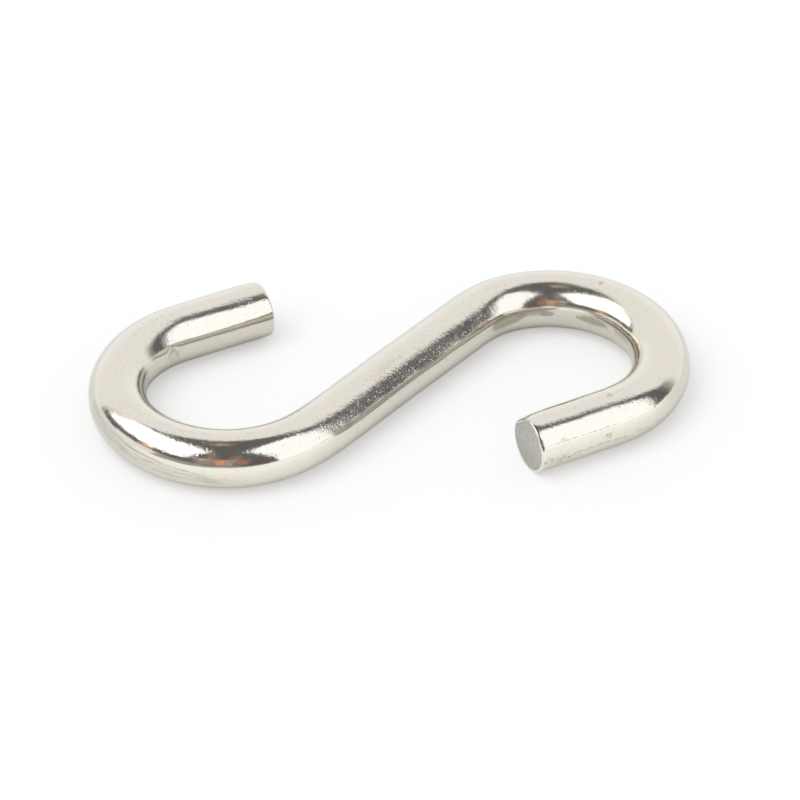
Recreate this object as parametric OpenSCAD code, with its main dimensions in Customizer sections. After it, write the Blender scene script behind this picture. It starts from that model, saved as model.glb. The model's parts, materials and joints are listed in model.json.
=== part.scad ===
// S hook bent from one length of round wire.
// A straight shank turns through an eye at each end, and each eye runs out into a straight tail.
// The hook lies on its side. The origin is below the middle of the shank, on the plane it lies on,
// and the line through the middles of the two eyes, along which the hook is loaded, runs along X.

/* [Wire] */
// Diameter of the wire
wire_d = 5; // [3:0.5:7]

/* [Shank] */
// Length of the straight shank between the two eyes
shank_len = 20.5; // [15:0.5:40]

/* [Eyes] */
// Angle through which the wire turns round each eye
bend_angle = 202.8; // [180:0.1:225]
// Bend radius of the first eye, to the middle of the wire
bend_r_a = 9.2; // [6:0.1:16]
// Bend radius of the second eye, to the middle of the wire
bend_r_b = 9.4; // [6:0.1:16]

/* [Tails] */
// Length of the straight tail after the first eye
tail_len_a = 7.5; // [4:0.1:10]
// Length of the straight tail after the second eye
tail_len_b = 7.9; // [4:0.1:10]

/* [Cropped ends] */
// Radius left round the rim of a cut face
rim_r = 0.15; // [0.05:0.05:0.4]
// Length over which the blade dragged the side of the first tail down
roll_len_a = 1.9; // [1:0.1:3]
// How far the rim of the first cut face was dragged down
roll_depth_a = 0.4; // [0.2:0.1:1]
// Place of the first drag round the wire, from the top towards the inside of the eye
roll_side_a = 40; // [-90:5:90]
// Length over which the blade dragged the side of the second tail down
roll_len_b = 1.0; // [0.8:0.1:3]
// How far the rim of the second cut face was dragged down
roll_depth_b = 0.4; // [0.2:0.1:0.6]
// Place of the second drag round the wire, from the top towards the inside of the eye
roll_side_b = -40; // [-90:5:90]

/* [Hidden] */
$fn = 48;
wire_r = wire_d / 2;
// Angle between the shank and the line through the middles of the eyes
shank_angle = atan((bend_r_a + bend_r_b) / shank_len);
// Extra turn of an eye's arc, which is trimmed off
trim_angle = 12;
// Start of a drag above the wire, so that its curve crosses the wire instead of touching it
roll_lift = 0.02;
// How far a blade's space runs past the ends of the wire
blade_margin = 1;

// Half of the section along a piece of wire that ends in a cut face with a rounded rim
module end_profile(length) {
    square([wire_r - rim_r, length]);
    square([wire_r, length - rim_r]);
    translate([wire_r - rim_r, length - rim_r]) circle(rim_r);
}

// Space that the blade leaves to the wire: a long side with its last stretch curving inwards
module blade_space(length, roll_len, roll_depth) {
    drop = roll_depth + roll_lift;
    curve_r = (roll_len * roll_len + drop * drop) / (2 * drop);
    top = wire_r + roll_lift;
    start = length - roll_len;
    translate([0, 0, -wire_d]) linear_extrude(2 * wire_d) {
        translate([-blade_margin, -wire_d]) square([start + blade_margin, wire_d + top]);
        translate([-blade_margin, -wire_d - curve_r]) square([length + 2 * blade_margin, wire_d + top]);
        translate([start, top - curve_r]) circle(curve_r);
    }
}

// Straight wire along +X from the origin, ending in a cropped face
module tail(length, roll_len, roll_depth, roll_side) {
    intersection() {
        rotate([0, 90, 0]) rotate_extrude() end_profile(length);
        rotate([90 + roll_side, 0, 0]) blade_space(length, roll_len, roll_depth);
    }
}

// One end of the hook, starting at the origin along +X: an eye that turns clockwise, then the tail.
// The eye's arc is made too long and trimmed on the plane where the tail starts.
module end(bend_r, tail_len, roll_len, roll_depth, roll_side) {
    translate([0, -bend_r, 0]) {
        difference() {
            rotate_extrude(start = 90, angle = -bend_angle - trim_angle)
                translate([bend_r, 0]) circle(wire_r);
            at_eye_end(bend_r) translate([0, -wire_d, -wire_d]) cube(2 * wire_d);
        }
        at_eye_end(bend_r) tail(tail_len, roll_len, roll_depth, roll_side);
    }
}

// Places what follows at the end of an eye, so that +X leads on along the wire
module at_eye_end(bend_r) {
    rotate([0, 0, 90 - bend_angle]) translate([bend_r, 0, 0]) rotate([0, 0, -90]) children();
}

module hook() {
    color("gainsboro") translate([0, 0, wire_r]) rotate([0, 0, shank_angle]) {
        rotate([0, 90, 0]) cylinder(h = shank_len, r = wire_r, center = true);
        translate([shank_len / 2, 0, 0])
            end(bend_r_a, tail_len_a, roll_len_a, roll_depth_a, roll_side_a);
        rotate([0, 0, 180]) translate([shank_len / 2, 0, 0])
            end(bend_r_b, tail_len_b, roll_len_b, roll_depth_b, roll_side_b);
    }
}

hook();
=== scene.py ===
"""An S hook of plated wire, lying on a white table between two soft boxes."""

import json
import math

import bpy
import bmesh
from mathutils import Matrix, Vector, noise


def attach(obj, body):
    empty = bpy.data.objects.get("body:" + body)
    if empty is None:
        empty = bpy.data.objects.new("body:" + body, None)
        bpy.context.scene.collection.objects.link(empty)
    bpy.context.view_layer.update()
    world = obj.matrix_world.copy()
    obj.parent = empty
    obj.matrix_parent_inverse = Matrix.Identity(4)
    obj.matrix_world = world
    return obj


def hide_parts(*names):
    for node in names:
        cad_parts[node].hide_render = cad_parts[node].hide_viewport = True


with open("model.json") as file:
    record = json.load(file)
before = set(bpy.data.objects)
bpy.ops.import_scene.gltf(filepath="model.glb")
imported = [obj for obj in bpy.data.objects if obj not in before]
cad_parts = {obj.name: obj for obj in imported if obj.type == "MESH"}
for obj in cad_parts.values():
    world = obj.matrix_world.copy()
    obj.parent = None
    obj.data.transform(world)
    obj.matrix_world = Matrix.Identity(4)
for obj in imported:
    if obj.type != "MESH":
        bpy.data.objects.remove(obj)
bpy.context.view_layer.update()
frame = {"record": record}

MM = 0.001
UP = Vector((0, 0, 1))

# ---------------------------------------------------------------- sizes

mounts = {mount["name"]: mount for mount in frame["record"]["mounts"]}
WIRE_R = mounts["tail_a"]["dims"]["r_mm"] * MM

# How far the wire turns round each eye, and the bend radii of the eyes, to the middle of the wire
BEND_ANGLE = math.radians(202.8)
BEND_R_A = 9.2 * MM
BEND_R_B = 9.4 * MM

# Radius round the rim of a cut face, and how deep the face is hollowed
RIM_R = 0.15 * MM
FACE_HOLLOW = 0.03 * MM

# The blade's drag: how far above the wire it starts, how far before that it still reaches, how gently it
# fades there, and the width over which its edge is rounded off
DRAG_LIFT = 0.02 * MM
DRAG_REACH = 1 * MM
DRAG_FADE = 3 * MM
DRAG_EDGE = 0.2 * MM

# Points round the wire, the step between rings of them along it, and the rings in a rim and in a cut face
SIDES = 112
RING_STEP = 0.18 * MM
RIM_RINGS = 4
FACE_RINGS = 16


class Tail:
    """One straight end of the wire, from the record's pin mount of the same name. The blade that cropped
    it dragged its skin down, on the side that drag_side gives, from the top towards the inside."""

    def __init__(self, name, bend_r, drag_length, drag_depth, drag_side):
        mount = mounts[name]
        middle = Vector(mount["pos_m"])
        self.length = mount["dims"]["length_mm"] * MM
        self.out = Vector(mount["axis"]).normalized()
        self.start = middle - self.out * self.length / 2
        self.tip = middle + self.out * self.length / 2
        inward = self.out.cross(UP)
        self.eye = self.start + inward * bend_r
        side = math.radians(drag_side)
        self.drag_from = UP * math.cos(side) + inward * math.sin(side)
        self.drag_length = drag_length * MM
        drop = drag_depth * MM + DRAG_LIFT
        self.drag_r = (self.drag_length ** 2 + drop ** 2) / (2 * drop)

    def drag(self, point):
        """Where the blade leaves a point of the tail."""
        from_tip = point - self.tip
        ahead = from_tip.dot(self.out)
        spoke = from_tip - self.out * ahead
        share = spoke.length / WIRE_R
        from_start = ahead + self.drag_length
        if from_start < -DRAG_REACH or share < 0.001:
            return point
        height = spoke.dot(self.drag_from) / share
        limit = WIRE_R + DRAG_LIFT
        if from_start > 0:
            limit += math.sqrt(self.drag_r ** 2 - from_start ** 2) - self.drag_r
        else:
            limit += from_start ** 2 / DRAG_FADE
        return point + self.drag_from * (soft_min(height, limit, DRAG_EDGE) - height) * share

    def hollow(self, point, off_middle):
        """How deep the cut face is hollowed at a point of the tail, this far off the wire's middle."""
        inside = 1 - (off_middle / (WIRE_R - RIM_R)) ** 2
        if inside < 0 or (self.tip - point).dot(self.out) > 0.01 * MM:
            return 0
        ripple = 0.6 + 0.4 * noise.noise(point / (0.9 * MM))
        return FACE_HOLLOW * ripple * inside


def soft_min(a, b, width):
    """The smaller of two lengths, with the change from one to the other rounded off."""
    share = min(max(0.5 + (b - a) / (2 * width), 0), 1)
    return b + (a - b) * share - width * share * (1 - share)


class Straight:
    """A straight stretch of the wire."""

    def __init__(self, start, along, length):
        self.start, self.along, self.length = start, along, length
        self.end = start + along * length

    def draw(self):
        steps = round(self.length / RING_STEP)
        for _ in range(steps):
            bpy.ops.mesh.extrude_region_move(
                TRANSFORM_OT_translate={"value": self.along * (self.length / steps)})

    def right(self, point):
        """The direction to the right of someone who walks along the wire."""
        return self.along.cross(UP)

    def place(self, point):
        """How far along the stretch a point is, how far to the right of its middle and how far up."""
        offset = point - self.start
        return offset.dot(self.along), offset.dot(self.right(point)), offset.z


class Eye:
    """A bent stretch of the wire. A positive turn is anticlockwise, seen from above."""

    def __init__(self, start, centre, turn):
        self.start, self.centre, self.turn = start, centre, turn
        self.radius = (start - centre).length
        self.length = self.radius * abs(turn)
        self.end = centre + Matrix.Rotation(turn, 3, UP) @ (start - centre)

    def draw(self):
        bpy.ops.mesh.spin(steps=round(self.length / RING_STEP), angle=-self.turn,
                          center=self.centre, axis=UP)

    def right(self, point):
        spoke = point - self.centre
        return Vector((spoke.x, spoke.y, 0)).normalized() * math.copysign(1, self.turn)

    def place(self, point):
        first, now = self.start - self.centre, point - self.centre
        side = math.copysign(1, self.turn)
        angle = math.atan2(side * (first.x * now.y - first.y * now.x), first.x * now.x + first.y * now.y)
        # an eye turns more than half way round, so its angles run from -60 to 300 degrees
        if angle < -math.pi / 3:
            angle += math.tau
        return angle * self.radius, side * (now.xy.length - self.radius), now.z


tail_a = Tail("tail_a", BEND_R_A, drag_length=1.9, drag_depth=0.3, drag_side=40)
tail_b = Tail("tail_b", BEND_R_B, drag_length=1.0, drag_depth=0.4, drag_side=-40)


def wire_route():
    """The stretches of the wire's middle, from the tip of the first tail to that of the second."""
    first_tail = Straight(tail_a.tip, -tail_a.out, tail_a.length)
    first_eye = Eye(tail_a.start, tail_a.eye, BEND_ANGLE)
    # walked backwards from the second tail, the second eye turns the same way as the first
    shank_run = Eye(tail_b.start, tail_b.eye, BEND_ANGLE).end - first_eye.end
    shank = Straight(first_eye.end, shank_run.normalized(), shank_run.length)
    second_eye = Eye(shank.end, tail_b.eye, -BEND_ANGLE)
    second_tail = Straight(tail_b.start, tail_b.out, tail_b.length)
    return [first_tail, first_eye, shank, second_eye, second_tail]


# ---------------------------------------------------------------- wire

def deselect():
    bpy.ops.object.select_all(action="DESELECT")


def select_ring(mesh_object, point):
    """In edit mode, selects the open ring of edges round a point."""
    edit = bmesh.from_edit_mesh(mesh_object.data)
    for edge in edit.edges:
        middle = (edge.verts[0].co + edge.verts[1].co) / 2
        edge.select_set(edge.is_boundary and (middle - point).length < WIRE_R * 1.2)
    edit.select_flush_mode()
    bmesh.update_edit_mesh(mesh_object.data)


def close_end(tail):
    """Carries the selected ring round the rim of the cut and closes the cut face."""
    centre = tail.tip - tail.out * RIM_R
    radius = WIRE_R
    for ring in range(1, RIM_RINGS + 1):
        angle = math.pi / 2 * ring / RIM_RINGS
        ahead = RIM_R * (math.sin(angle) - math.sin(angle - math.pi / 2 / RIM_RINGS))
        wanted = WIRE_R - RIM_R + RIM_R * math.cos(angle)
        bpy.ops.mesh.extrude_region_move(TRANSFORM_OT_translate={"value": tail.out * ahead})
        centre += tail.out * ahead
        bpy.ops.transform.resize(value=(wanted / radius,) * 3, center_override=centre)
        radius = wanted
    for ring in range(FACE_RINGS, 1, -1):
        bpy.ops.mesh.extrude_region_move(TRANSFORM_OT_translate={"value": (0, 0, 0)})
        bpy.ops.transform.resize(value=((ring - 1) / ring,) * 3, center_override=tail.tip)
    bpy.ops.mesh.extrude_region_move(TRANSFORM_OT_translate={"value": (0, 0, 0)})
    bpy.ops.mesh.merge(type="CENTER")


def bend_wire(route):
    """Draws a circle along the route, from the first tail to the second, and closes both ends."""
    deselect()
    first, last = route[0], route[-1]
    heading = math.atan2(first.along.y, first.along.x)
    bpy.ops.mesh.primitive_circle_add(
        vertices=SIDES, radius=WIRE_R, location=first.start + first.along * RIM_R,
        rotation=(0, math.pi / 2, heading))
    wire = bpy.context.object
    wire.name = "bent_wire"
    bpy.ops.object.transform_apply(location=True, rotation=True, scale=True)
    bpy.ops.object.mode_set(mode="EDIT")
    bpy.ops.mesh.select_mode(type="EDGE")
    bpy.ops.mesh.select_all(action="SELECT")
    Straight(first.start, first.along, first.length - RIM_R).draw()
    for stretch in route[1:-1]:
        stretch.draw()
    Straight(last.start, last.along, last.length - RIM_R).draw()
    close_end(tail_b)
    bpy.ops.mesh.select_all(action="DESELECT")
    select_ring(wire, first.start + first.along * RIM_R)
    close_end(tail_a)
    bpy.ops.mesh.select_all(action="SELECT")
    bpy.ops.mesh.remove_doubles(threshold=0.002 * MM)
    bpy.ops.mesh.normals_make_consistent(inside=False)
    bpy.ops.object.mode_set(mode="OBJECT")
    bpy.ops.object.shade_smooth()
    return wire


def find_places(wire, route):
    """For each point, its place in the straight wire and the direction to its right."""
    found = []
    for vertex in wire.data.vertices:
        run = 0
        best = None
        for stretch in route:
            along, across, height = stretch.place(vertex.co)
            miss = abs(math.hypot(across, height) - WIRE_R) + max(0, -along, along - stretch.length)
            if best is None or miss < best[0]:
                best = (miss, Vector((run + along, across, height)), stretch.right(vertex.co))
            run += stretch.length
        found.append(best[1:])
    return found


def keep_places(wire, places):
    """Keeps the places as an attribute, for the patterns that follow the wire."""
    attribute = wire.data.attributes.new("straight_wire", "FLOAT_VECTOR", "POINT")
    attribute.data.foreach_set("vector", [value for place, _ in places for value in place])


def waves(place):
    """How deep the skin lies below a true round wire: small and large waves that drawing and bending
    leave, longer along the wire than round it."""
    spot = Vector((place.x * 0.6, place.y, place.z)) / MM
    small, large = noise.noise(spot / 1.1), noise.noise(spot / 3.1)
    return (0.046 + 0.008 * small + 0.006 * large) * MM


def fold(place, start, end, width):
    """How near a point of the skin lies to a fold in it: 1 on the middle of the fold's line. Its ends
    are given in millimetres along and degrees round the wire."""
    degree = math.radians(1) * WIRE_R / MM
    here = Vector((place.x / MM, math.degrees(math.atan2(place.z, place.y)) * degree))
    start = Vector((start[0], start[1] * degree))
    end = Vector((end[0], end[1] * degree))
    run, offset = end - start, here - start
    share = offset.dot(run) / run.length_squared
    if not 0 < share < 1:
        return 0
    return math.sin(math.pi * share) ** 0.7 * math.exp(-((offset - run * share).length / width) ** 2)


# Folds on the inside of the second eye: depth, the two ends and the width. One is a low ridge.
FOLDS = ((0.08, (91.3, 22), (90.4, -4), 0.25), (0.07, (91.5, 20), (92.3, -16), 0.25),
         (-0.02, (88.5, 9), (91, 14), 0.3), (0.04, (87.8, 13), (90, -1), 0.25))


def pinch(place):
    """Depth of the folds in the second eye, where its skin was squeezed on the former."""
    if not 86 * MM < place.x < 94 * MM:
        return 0
    return sum(depth * fold(place, start, end, width) for depth, start, end, width in FOLDS) * MM


def ease(value, low, high):
    """Goes smoothly from 0, where the value is low, to 1, where it is high."""
    share = min(max((value - low) / (high - low), 0), 1)
    return share * share * (3 - 2 * share)


# Where the wire sways: how far, where it starts, where it swings from one side to the other, and its end
SWAYS = ((0.06, 3, 8, 11.5, 18), (-0.05, 28, 36.5, 40, 50), (0.06, 50, 58.5, 62, 70))


def sway(place):
    """How far the wire lies to the right of its true line: near three of the four places where a bend
    meets a straight stretch, the bend begins a little early or late."""
    along = place.x / MM
    offset = 0
    for size, start, turn_start, turn_end, end in SWAYS:
        offset += size * (2 * ease(along, turn_start, turn_end) - ease(along, start, turn_start)
                          - ease(along, turn_end, end))
    return offset * MM


def rim_wear(place):
    """Depth of the wear that rounds the near side of the first tail's rim."""
    depth, length, low, high = 0.08 * MM, 0.6 * MM, 5, 80
    turn = math.degrees(math.atan2(place.z, place.y))
    if not low < turn < high:
        return 0
    share = math.sin(math.pi * (turn - low) / (high - low))
    return depth * share * max(0, 1 - place.x / length) ** 2


def shape_skin(wire, places):
    """Sinks the skin a little below a true round wire, and leaves the blade's drag at the tails."""
    near_tip = 5 * MM
    for vertex, (place, right) in zip(wire.data.vertices, places):
        spoke = right * place.y + UP * place.z
        vertex.co += right * sway(place)
        if spoke.length > 0.01 * MM:
            depth = waves(place) + pinch(place) + rim_wear(place)
            vertex.co -= spoke.normalized() * depth * spoke.length / WIRE_R
        for tail in (tail_a, tail_b):
            if (vertex.co - tail.tip).length < near_tip:
                vertex.co = tail.drag(vertex.co)
                vertex.co -= tail.out * tail.hollow(vertex.co, spoke.length)


# ---------------------------------------------------------------- materials

class Nodes:
    """A node tree, with short ways to add nodes to it. A value may be a number, a colour or a socket."""

    def __init__(self, tree):
        self.tree = tree

    def add(self, kind, inputs=(), **settings):
        node = self.tree.nodes.new(kind)
        for name, value in settings.items():
            setattr(node, name, value)
        for name, value in dict(inputs).items():
            if isinstance(value, bpy.types.NodeSocket):
                self.tree.links.new(node.inputs[name], value)
            else:
                node.inputs[name].default_value = value
        return node

    def maths(self, operation, *values):
        return self.add("ShaderNodeMath", enumerate(values), operation=operation).outputs[0]

    def product(self, value, *others):
        for other in others:
            value = self.maths("MULTIPLY", value, other)
        return value

    def plus(self, value, share, amount):
        """Adds a share of an amount to a value."""
        return self.maths("MULTIPLY_ADD", share, amount, value)

    def vector_maths(self, operation, *values, output="Vector"):
        return self.add("ShaderNodeVectorMath", enumerate(values), operation=operation).outputs[output]

    def rise(self, value, low, high, to=1, start=0):
        """Goes smoothly from one number, the start, where the value is low, to another where it is high."""
        return self.add("ShaderNodeMapRange", {"Value": value, "From Min": low, "From Max": high,
                                               "To Min": start, "To Max": to},
                        interpolation_type="SMOOTHSTEP").outputs[0]

    def cover(self, colour, share, new_colour):
        """Lays a new colour over a colour, where the share is 1."""
        factor, below, above = 0, 6, 7
        inputs = {factor: share, below: colour, above: new_colour}
        return self.add("ShaderNodeMix", inputs, data_type="RGBA").outputs[2]

    def noise(self, place, scale, detail=2, roughness=0.5):
        return self.add("ShaderNodeTexNoise", {"Vector": place, "Scale": scale, "Detail": detail,
                                               "Roughness": roughness}).outputs["Fac"]

    def pattern(self, name, **inputs):
        """Adds one of the patterns, with this material's values."""
        inputs = {input_name.capitalize(): value for input_name, value in inputs.items()}
        return self.add("ShaderNodeGroup", inputs, node_tree=patterns[name]).outputs[0]


class Pattern(Nodes):
    """A node group. Its inputs are given with the values they start from; a tuple is a vector."""

    def __init__(self, name, outputs=("Mask",), **inputs):
        super().__init__(bpy.data.node_groups.new(name, "ShaderNodeTree"))
        sockets = self.tree.interface
        for input_name, value in inputs.items():
            kind = "NodeSocketVector" if isinstance(value, tuple) else "NodeSocketFloat"
            socket = sockets.new_socket(input_name.capitalize(), in_out="INPUT", socket_type=kind)
            socket.default_value = value
        for output_name in outputs:
            kind = "NodeSocketVector" if output_name == "Place" else "NodeSocketFloat"
            sockets.new_socket(output_name, in_out="OUTPUT", socket_type=kind)
        self.given = self.add("NodeGroupInput").outputs
        self.result = self.add("NodeGroupOutput")

    def give(self, **values):
        for name, value in values.items():
            self.tree.links.new(self.result.inputs[name.capitalize()], value)
        return self.tree


def make_place_pattern():
    """Where a point lies in the straight wire, in millimetres, and how many degrees round it: 0 is to
    the right, 90 is the top and 180 is to the left, for someone who walks from the first tail."""
    pattern = Pattern("place_on_wire", ("Place", "Along", "Round"))
    metres = pattern.add("ShaderNodeAttribute", attribute_name="straight_wire").outputs["Vector"]
    place = pattern.vector_maths("MULTIPLY", metres, (1 / MM,) * 3)
    parts = pattern.add("ShaderNodeSeparateXYZ", {0: place}).outputs
    turn = pattern.maths("DEGREES", pattern.maths("ARCTAN2", parts["Z"], parts["Y"]))
    return pattern.give(place=place, along=parts["X"], round=turn)


def make_pebble_pattern():
    """Pebbled plating: small humps, longer round the wire than along it."""
    pattern = Pattern("pebbles", ("Height",), place=(0, 0, 0), size=0.2, stretch=1.8)
    given = pattern.given
    across = pattern.maths("DIVIDE", 1, pattern.product(given["Size"], given["Stretch"]))
    along = pattern.maths("DIVIDE", 1, given["Size"])
    scale = pattern.add("ShaderNodeCombineXYZ", {0: along, 1: across, 2: across}).outputs[0]
    spot = pattern.vector_maths("MULTIPLY", given["Place"], scale)
    humps = pattern.add("ShaderNodeTexVoronoi", {"Vector": spot, "Scale": 1, "Smoothness": 0.7},
                        feature="SMOOTH_F1").outputs["Distance"]
    return pattern.give(height=pattern.maths("SUBTRACT", 1, humps))


def make_line_pattern():
    """Thin broken lines along the wire, as a former draws them. Lean is how many degrees round the wire
    they go for each millimetre along, and fineness is how many lie in ten degrees, more or less."""
    pattern = Pattern("drawn_lines", along=0.0, round=0.0, fineness=1.0, length=12.0, amount=0.3, lean=0.0)
    given = pattern.given
    run = pattern.maths("DIVIDE", given["Along"], given["Length"])
    # counted from 0 to 360, so that the seam lies on the right of the wire
    turn = pattern.maths("WRAP", given["Round"], 360, 0)
    turn = pattern.maths("SUBTRACT", turn, pattern.product(given["Along"], given["Lean"]))
    turn = pattern.product(turn, given["Fineness"], 0.1)
    spot = pattern.add("ShaderNodeCombineXYZ", {0: run, 1: turn}).outputs[0]
    grain = pattern.noise(spot, 1, detail=2, roughness=0.6)
    off_line = pattern.maths("ABSOLUTE", pattern.maths("SUBTRACT", grain, 0.5))
    width = pattern.product(given["Amount"], 0.1)
    return pattern.give(mask=pattern.rise(off_line, width, 0))


def make_patch_pattern():
    """An oval patch with a ragged edge, at a place along and round the wire. Length and width are from
    its middle to its edge, and slant is how many millimetres along it goes for each degree round."""
    pattern = Pattern("ragged_patch", place=(0, 0, 0), along=0.0, round=0.0, at=10.0, turn=90.0,
                      length=2.0, width=20.0, ragged=0.5, grain=3.0, slant=0.0)
    given = pattern.given
    turn = pattern.maths("SUBTRACT", given["Round"], given["Turn"])
    turn = pattern.maths("WRAP", turn, 180, -180)
    middle = pattern.plus(given["At"], given["Slant"], turn)
    run = pattern.maths("DIVIDE", pattern.maths("SUBTRACT", given["Along"], middle), given["Length"])
    turn = pattern.maths("DIVIDE", turn, given["Width"])
    reach = pattern.maths("SQRT", pattern.plus(pattern.product(run, run), turn, turn))
    edge = pattern.maths("SUBTRACT", pattern.noise(given["Place"], given["Grain"], detail=3), 0.5)
    reach = pattern.plus(reach, edge, pattern.product(given["Ragged"], 2))
    return pattern.give(mask=pattern.rise(reach, 1.2, 0.7))


def make_speck_pattern():
    """Scattered specks, each round and soft. Share is how many of the places have one."""
    pattern = Pattern("specks", place=(0, 0, 0), spacing=0.6, size=0.1, share=0.5)
    given = pattern.given
    spot = pattern.vector_maths("DIVIDE", given["Place"], given["Spacing"])
    cell = pattern.add("ShaderNodeTexVoronoi", {"Vector": spot, "Scale": 1})
    reach = pattern.product(cell.outputs["Distance"], given["Spacing"])
    speck = pattern.rise(reach, given["Size"], pattern.product(given["Size"], 0.4))
    lot = pattern.add("ShaderNodeSeparateColor", {0: cell.outputs["Color"]}).outputs[0]
    chosen = pattern.maths("LESS_THAN", lot, given["Share"])
    return pattern.give(mask=pattern.product(speck, chosen))


patterns = {"place": make_place_pattern(), "pebbles": make_pebble_pattern(), "lines": make_line_pattern(),
            "patch": make_patch_pattern(), "specks": make_speck_pattern()}


class Metal(Nodes):
    """A metal material. Places and heights are in millimetres."""

    def __init__(self, name):
        self.material = bpy.data.materials.new(name)
        self.material.use_nodes = True
        super().__init__(self.material.node_tree)
        self.shader = self.tree.nodes["Principled BSDF"]
        self.shader.inputs["Metallic"].default_value = 1
        self.where = self.add("ShaderNodeGroup", node_tree=patterns["place"]).outputs

    def patch(self, at, turn, length, width, ragged, grain, slant=0):
        """An oval patch, its middle this far along the wire and this many degrees round it."""
        place, along, around = self.where
        return self.pattern("patch", place=place, along=along, round=around, at=at, turn=turn,
                            length=length, width=width, ragged=ragged, grain=grain, slant=slant)

    def finish(self, colour, roughness, height):
        self.tree.links.new(self.shader.inputs["Base Color"], colour)
        self.tree.links.new(self.shader.inputs["Roughness"], roughness)
        bump = self.add("ShaderNodeBump", {"Height": height, "Distance": MM})
        self.tree.links.new(self.shader.inputs["Normal"], bump.outputs[0])
        return self.material


# Distances along the wire, from the first tip: the first eye starts at 7.5, the shank at 40, the second
# eye at 60.5 and the second tail at 94. The wire ends at 102.


def pebbling(metal):
    """How pebbled the plating is: most on the shank, less at the first tip and round the second eye, least
    round the first eye, and smooth below."""
    place, along, turn = metal.where
    shank = metal.product(metal.rise(along, 35, 41), metal.rise(along, 67, 58))
    second_eye = metal.rise(along, 66, 72, to=0.35)
    first_tail = metal.rise(along, 15, 10, to=0.3)
    least = 0.5
    rough = metal.maths("ADD", metal.maths("ADD", shank, second_eye), metal.maths("ADD", first_tail, least))
    smooth_below = metal.product(metal.rise(turn, 154, 147), metal.rise(turn, 22, 30))
    drifts = metal.rise(metal.noise(place, 0.6, detail=3), 0.35, 0.65, start=0.7, to=1.2)
    return metal.product(rough, smooth_below, drifts)


def relief(metal, rough, grit, lines):
    """The relief of the plating."""
    place, along, turn = metal.where
    pebbles = metal.pattern("pebbles", place=place, size=0.13, stretch=1.2)
    pits = metal.pattern("specks", place=place, spacing=0.3, size=0.11, share=0.45)
    height = metal.product(pebbles, rough, 0.003)
    height = metal.plus(height, metal.product(grit, rough), 0.012)
    height = metal.plus(height, metal.product(pits, rough), -0.006)
    # small soft waves
    height = metal.plus(height, metal.noise(place, 1.4, detail=1), 0.006)
    # the skin on the inside of the first eye and near the second tip, squeezed a little flat
    flat = metal.product(metal.rise(along, 18, 24), metal.rise(along, 33, 27, start=0.06, to=0.2),
                         metal.rise(along, 40, 35))
    height = metal.plus(height, metal.rise(turn, 100, 160), flat)
    height = metal.plus(height, metal.rise(turn, 72, 40), metal.rise(along, 95, 99, to=0.06))
    return metal.plus(height, lines, -0.0035)


def dullness(metal, rough, grit):
    """How dull the plating is: a little more on its grit, and round the first eye."""
    place, along, turn = metal.where
    roughness = metal.rise(metal.noise(place, 1.5, detail=3), 0.3, 0.7, start=0.07, to=0.12)
    roughness = metal.plus(roughness, metal.product(metal.rise(grit, 0.5, 0.68), rough), 0.05)
    first_eye = metal.product(metal.rise(along, 18, 24), metal.rise(along, 40, 34))
    return metal.plus(roughness, first_eye, 0.05)


DULL_AND_SHADE = (0.42, 0.39, 0.32, 1)
BROWN = (0.36, 0.32, 0.24, 1)
REFLECTION_GREY = (0.38, 0.41, 0.42, 1)

# Some of these marks are painted light: painted shade on the inside of the first eye, and a painted
# reflection along the shank.
# Marks on the plating: how far along and how many degrees round the wire, how long and how wide, how
# ragged their edge and how fine its grain, and their colour and strength
MARKS = (
    # darker patches on the inside of the first eye: partly stains, and partly painted shade for the
    # shadowed table that it mirrors
    (37.3, 175, 2.7, 14, 0.4, 1, DULL_AND_SHADE, 0.95), (34.2, 172, 2, 7, 0.5, 1.5, DULL_AND_SHADE, 0.75),
    (32.4, 177, 0.9, 6, 0.6, 2, DULL_AND_SHADE, 0.9), (26.8, 177, 2, 9, 0.7, 1.7, DULL_AND_SHADE, 0.85),
    (22, 172, 1.7, 5, 0.6, 2, DULL_AND_SHADE, 0.45),
    # nicks, and a cloud on the shank
    (27.4, 89, 0.25, 7, 1.4, 3, DULL_AND_SHADE, 0.6), (91.3, 0, 0.9, 14, 0.8, 2, DULL_AND_SHADE, 0.2),
    (7.7, 88, 0.3, 6, 1, 4, DULL_AND_SHADE, 0.45), (52, 107, 2.2, 7, 2.4, 3, DULL_AND_SHADE, 0.2),
    # painted reflection: a grey streak along the side of the shank, for the dark horizon line that it
    # mirrors there
    (50, 156, 12, 2.6, 0.4, 1, REFLECTION_GREY, 0.6),
    # scuffs along the first tail
    (3.5, 25, 4, 1.5, 2.4, 3, BROWN, 0.5), (4.5, -9, 5, 2.2, 3, 3, BROWN, 0.55),
    (1.6, -11, 1.6, 9, 2, 3, BROWN, 0.55), (6.3, 6, 0.35, 6, 1, 4, BROWN, 0.65),
    (2.7, -15, 0.3, 4, 1, 4, BROWN, 0.5), (2.2, 29, 0.3, 5, 1, 4, BROWN, 0.5))


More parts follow.
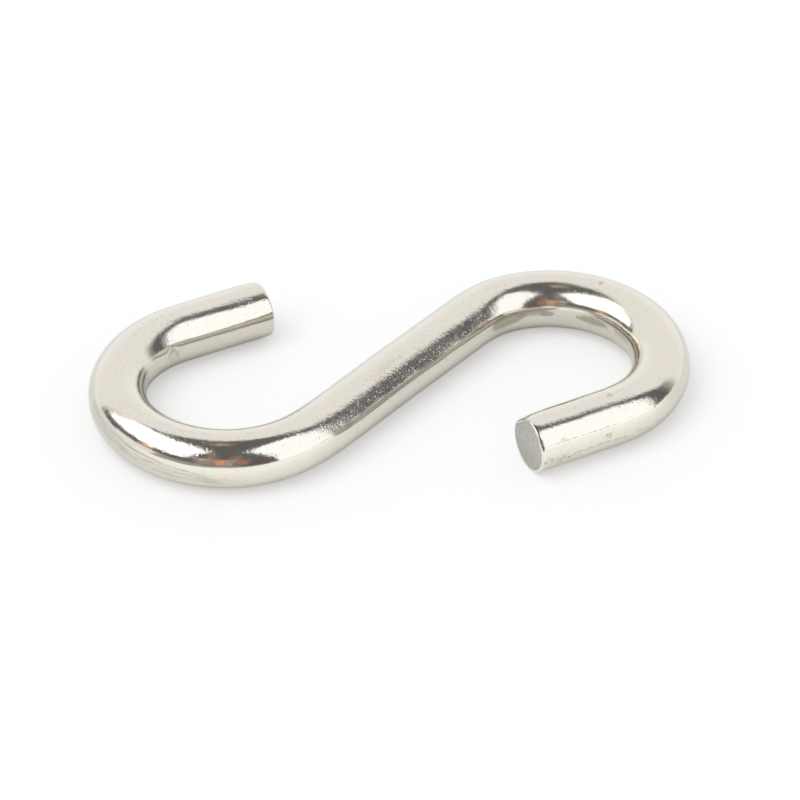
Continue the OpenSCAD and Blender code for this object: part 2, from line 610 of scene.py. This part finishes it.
def plated_nickel():
    metal = Metal("plated_nickel")
    place, along, turn = metal.where
    rough = pebbling(metal)
    grit = metal.noise(place, 4.8, detail=3, roughness=0.65)

    # lines rubbed along the outside of the second eye
    rubbed = metal.patch(at=75.5, turn=175, length=4.5, width=27, ragged=0.3, grain=1, slant=-0.22)
    lines = metal.pattern("lines", along=along, round=turn, fineness=3.7, length=10, amount=0.38,
                          lean=-2.4)
    lines = metal.product(lines, rubbed)

    # nickel, a little warmer and cooler in clouds, with a fine mottle and a few dark specks
    clouds = metal.rise(metal.noise(place, 0.4, detail=2), 0.3, 0.7)
    mottle = metal.rise(metal.noise(place, 3, detail=4, roughness=0.7), 0.52, 0.72, to=0.34)
    specks = metal.pattern("specks", place=place, spacing=1.1, size=0.09, share=0.35)
    colour = metal.cover((0.76, 0.71, 0.62, 1), clouds, (0.74, 0.71, 0.63, 1))
    colour = metal.cover(colour, mottle, (0.55, 0.52, 0.44, 1))
    colour = metal.cover(colour, metal.product(lines, 0.8), (0.22, 0.2, 0.17, 1))
    colour = metal.cover(colour, metal.product(specks, 0.35), (0.3, 0.28, 0.24, 1))

    # painted shade: darker colour along two creases that meet, on the inside of the second eye
    for at, around, width, slant in ((90.9, 10.5, 11, 0.042), (91.7, 3, 18, -0.0235)):
        crease_shade = metal.patch(at, around, length=0.2, width=width, ragged=0.3, grain=3, slant=slant)
        colour = metal.cover(colour, metal.product(crease_shade, 0.45), DULL_AND_SHADE)

    # the brown marks are crumbly
    roughness = dullness(metal, rough, grit)
    crumbs = metal.rise(metal.noise(place, 5, detail=2), 0.44, 0.56, start=0.3)
    for at, around, length, width, ragged, grain, mark, strength in MARKS:
        mask = metal.patch(at, around, length, width, ragged, grain)
        if mark == BROWN:
            mask = metal.product(mask, crumbs)
        colour = metal.cover(colour, metal.product(mask, strength), mark)
        roughness = metal.plus(roughness, mask, 0.12)
    return metal.finish(colour, roughness, relief(metal, rough, grit, lines))


def sheared_steel():
    """The face that the blade left: dull grey, with a fine grain."""
    metal = Metal("sheared_steel")
    place = metal.where["Place"]
    dark = (0.36, 0.35, 0.32, 1)
    grain = metal.noise(place, 3.5, detail=4, roughness=0.75)
    colour = metal.cover((0.49, 0.49, 0.45, 1), metal.rise(grain, 0.4, 0.62), (0.63, 0.62, 0.57, 1))
    bright = metal.pattern("specks", place=place, spacing=0.4, size=0.14, share=0.45)
    colour = metal.cover(colour, metal.product(bright, 0.7), (0.72, 0.72, 0.65, 1))
    # darker near the rim, then the pale edge of the plating
    across = metal.vector_maths("MULTIPLY", place, (0, 1, 1))
    off_middle = metal.vector_maths("LENGTH", across, output="Value")
    colour = metal.cover(colour, metal.rise(off_middle, 2, 2.2, to=0.35), dark)
    colour = metal.cover(colour, metal.rise(off_middle, 2.25, 2.31), (0.88, 0.86, 0.78, 1))
    # painted shade: darker towards the table, inside the rim
    lower_shade = metal.rise(metal.add("ShaderNodeSeparateXYZ", {0: place}).outputs["Z"], 0.6, -1.6, to=0.35)
    colour = metal.cover(colour, metal.product(lower_shade, metal.rise(off_middle, 2.25, 2.15)), dark)
    roughness = metal.rise(grain, 0.3, 0.7, start=0.5, to=0.6)
    return metal.finish(colour, roughness, metal.product(grain, 0.03))


def plate(wire):
    """Plated nickel all over, and dull steel on the two cut faces."""
    wire.data.materials.append(plated_nickel())
    wire.data.materials.append(sheared_steel())
    squarely = 0.985
    for face in wire.data.polygons:
        for tail in (tail_a, tail_b):
            near = (face.center - tail.tip).length < WIRE_R
            if near and face.normal.dot(tail.out) > squarely:
                face.material_index = 1


# ---------------------------------------------------------------- room and camera

CAMERA_AZIMUTH = -8.7
CAMERA_ELEVATION = 36.65
CAMERA_DISTANCE = 428.8 * MM
CAMERA_TARGET = Vector((0.15, -3.35, 2.5)) * MM


def direction(azimuth, elevation):
    """Unit vector from the hook towards a place in the room; azimuth 0 is towards the front."""
    azimuth, elevation = math.radians(azimuth), math.radians(elevation)
    return Vector((math.sin(azimuth) * math.cos(elevation),
                   -math.cos(azimuth) * math.cos(elevation), math.sin(elevation)))


def add_camera():
    """A long lens, looking down at the hook from the front."""
    camera_data = bpy.data.cameras.new("camera")
    camera = bpy.data.objects.new("camera", camera_data)
    bpy.context.scene.collection.objects.link(camera)
    camera_data.lens = 229.5
    camera_data.clip_start = 0.01
    back = direction(CAMERA_AZIMUTH, CAMERA_ELEVATION)
    camera.location = CAMERA_TARGET + back * CAMERA_DISTANCE
    camera.rotation_euler = (-back).to_track_quat("-Z", "Y").to_euler()
    bpy.context.scene.camera = camera


def add_table():
    """A white table. The camera sees plain white mixed into it, so that the shadows on it stay light.
    The wire mirrors it a little brighter than it is lit, above all further off."""
    deselect()
    bpy.ops.mesh.primitive_plane_add(size=3)
    table = bpy.context.object
    table.name = "table"
    material = bpy.data.materials.new("white_table")
    material.use_nodes = True
    nodes = Nodes(material.node_tree)
    shader = nodes.tree.nodes["Principled BSDF"]
    shader.inputs["Base Color"].default_value = (0.86, 0.88, 0.89, 1)
    shader.inputs["Roughness"].default_value = 0.9
    shader.inputs["Specular IOR Level"].default_value = 0
    shader.inputs["Emission Color"].default_value = (1, 0.98, 0.95, 1)
    ray = nodes.add("ShaderNodeLightPath").outputs
    place = nodes.add("ShaderNodeTexCoord").outputs["Object"]
    # metres from the hook, all round it and to its front
    away = nodes.vector_maths("LENGTH", place, output="Value")
    forward = nodes.vector_maths("DOT_PRODUCT", place, direction(0, 0), output="Value")
    glow = nodes.maths("MAXIMUM", nodes.rise(away, 0.03, 0.2, to=0.3),
                       nodes.rise(forward, 0.002, 0.022, to=0.3))
    nodes.tree.links.new(shader.inputs["Emission Strength"], nodes.product(ray["Is Glossy Ray"], glow))
    white = nodes.add("ShaderNodeEmission", {"Color": (1.2, 1.18, 1.17, 1)})
    seen = nodes.add("ShaderNodeMixShader", {0: nodes.product(ray["Is Camera Ray"], 0.36),
                                             1: shader.outputs[0], 2: white.outputs[0]})
    nodes.tree.links.new(nodes.tree.nodes["Material Output"].inputs["Surface"], seen.outputs[0])
    table.data.materials.append(material)


class Room(Nodes):
    """The world that the hook mirrors: a pale room with cards laid over it one after another.

    The room is drawn as a chart of the sky seen from the hook. Its middle is straight up, across is to
    the camera's right, down is towards the camera, and distances from the middle are in degrees.
    """

    def __init__(self, colour):
        world = bpy.data.worlds.new("room")
        bpy.context.scene.world = world
        world.use_nodes = True
        super().__init__(world.node_tree)
        self.tree.nodes.clear()
        self.colour = (*colour, 1)
        toward = self.add("ShaderNodeTexCoord").outputs["Generated"]
        height = self.add("ShaderNodeSeparateXYZ", {0: toward}).outputs["Z"]
        self.from_top = self.maths("DEGREES", self.maths("ARCCOSINE", height))
        level = self.vector_maths("NORMALIZE", self.vector_maths("MULTIPLY", toward, (1, 1, 0)))
        parts = []
        for axis in (direction(CAMERA_AZIMUTH + 90, 0), direction(CAMERA_AZIMUTH, 0)):
            share = self.vector_maths("DOT_PRODUCT", level, axis, output="Value")
            parts.append(self.product(self.from_top, share))
        self.chart = self.add("ShaderNodeCombineXYZ", enumerate(parts)).outputs[0]

    def card(self, colour, corners, foot=0, blur=2):
        """Lays a card with straight sides over the chart, down to a lowest elevation, its foot. Its
        corners go round the same way as the hands of a clock, and its edges are blurred."""
        depth = self.maths("SUBTRACT", 90 - foot, self.from_top)
        for (x, y), (next_x, next_y) in zip(corners, corners[1:] + corners[:1]):
            inward = Vector((y - next_y, next_x - x, 0)).normalized()
            beside = self.vector_maths("DOT_PRODUCT", self.chart, inward, output="Value")
            inside = self.maths("SUBTRACT", beside, inward.dot(Vector((x, y, 0))))
            depth = self.maths("MINIMUM", depth, inside)
        self.colour = self.cover(self.colour, self.rise(depth, -blur, blur), (*colour, 1))

    def finish(self, level):
        """The metal mirrors the room, the camera sees plain white, and the rest is lit evenly."""
        mirrored = self.add("ShaderNodeBackground", {"Color": self.colour})
        even = self.add("ShaderNodeBackground", {"Color": (1, 1, 1, 1), "Strength": level})
        white = self.add("ShaderNodeBackground", {"Color": (1, 1, 1, 1)})
        ray = self.add("ShaderNodeLightPath").outputs
        light = self.add("ShaderNodeMixShader", {0: ray["Is Glossy Ray"], 1: even.outputs[0],
                                                 2: mirrored.outputs[0]})
        seen = self.add("ShaderNodeMixShader", {0: ray["Is Camera Ray"], 1: light.outputs[0],
                                                2: white.outputs[0]})
        self.add("ShaderNodeOutputWorld", {"Surface": seen.outputs[0]})


def add_lamp():
    """A broad soft lamp high on the left, out of the metal's sight."""
    bpy.ops.object.light_add(type="SUN")
    lamp = bpy.context.object
    lamp.rotation_euler = direction(CAMERA_AZIMUTH - 52, 60).to_track_quat("Z", "Y").to_euler()
    lamp.data.angle = math.radians(50)
    lamp.data.energy = 1.2
    lamp.visible_glossy = False


def build_room():
    """Cards stand for the windows, walls and warm things that the hook mirrors."""
    room = Room((1.02, 1.02, 1.03))
    dark = (0.15, 0.15, 0.155)
    # cool light from the back
    room.card((1.07, 1.09, 1.12), [(-99, -99), (99, -99), (99, -62), (-99, -62)], blur=8)
    # foot of the wall in front and on the right, and the dark front half of the room above it
    room.card((0.42, 0.41, 0.4), [(-80, 25), (0, 45), (50, 45), (50, 100), (-80, 100)], blur=4)
    room.card((0.45, 0.45, 0.43), [(50, -25), (99, -40), (99, 100), (50, 100)], blur=4)
    room.card(dark, [(-95, -37), (-24, -19), (-24, 100), (-95, 100)], foot=11, blur=2.5)
    room.card(dark, [(-27, -22), (20, -17), (20, 100), (-27, 100)], foot=8, blur=2.5)
    room.card((0.15, 0.155, 0.17), [(12, -19), (52, -20), (95, -31), (95, 100), (17, 100)],
              foot=3, blur=2)
    room.card(dark, [(-99, -45), (-64, -32), (-64, -8), (-99, -8)], foot=5)
    # left and right windows
    room.card((2, 2, 2), [(-68, -24), (-27, -20), (-12, 28), (-15, 33), (-38, 53), (-57, 33), (-67, 2)])
    room.card((1.34, 1.38, 1.44),
              [(26, -2), (47, -1), (95, 15), (95, 54), (60, 71), (13, 32), (13, 27), (19, 7)])
    # a lamp near the top of the room
    room.card((0.8, 0.7, 0.42), [(-5, -8), (-1, -8), (-1, 1), (-5, 1)], blur=1.5)
    # warm things between the windows
    room.card((0.36, 0.28, 0.25), [(-14, 32), (-8, 30), (-8, 54), (-15, 54)])
    room.card((0.38, 0.26, 0.22), [(5, 42), (11, 44), (11, 60), (5, 60)])
    room.card((0.78, 0.4, 0.28), [(-14, 58), (-1, 57), (-1, 79), (-12, 79)])
    room.card((0.5, 0.45, 0.46), [(0, 57), (6, 57), (6, 80), (0, 80)])
    room.card((0.42, 0.24, 0.17), [(8, 57), (20, 60), (22, 76), (8, 77)])
    room.card((0.72, 0.63, 0.63), [(-27, 54), (-16, 52), (-16, 62), (-27, 64)])
    room.card((0.42, 0.33, 0.29), [(-33, 65), (-15, 66), (-15, 77), (-29, 75)])
    room.card((0.16, 0.13, 0.13), [(23, 52), (48, 66), (45, 76), (24, 74)])
    room.card((0.85, 0.45, 0.3), [(-73, 21), (-60, 24), (-60, 36), (-73, 34)])
    room.finish(level=0.7)


def main():
    scene = bpy.context.scene
    scene.view_settings.view_transform = "Standard"
    route = wire_route()
    wire = bend_wire(route)
    places = find_places(wire, route)
    keep_places(wire, places)
    shape_skin(wire, places)
    plate(wire)
    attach(wire, "root")
    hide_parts("hook")
    add_table()
    build_room()
    add_lamp()
    add_camera()


main()
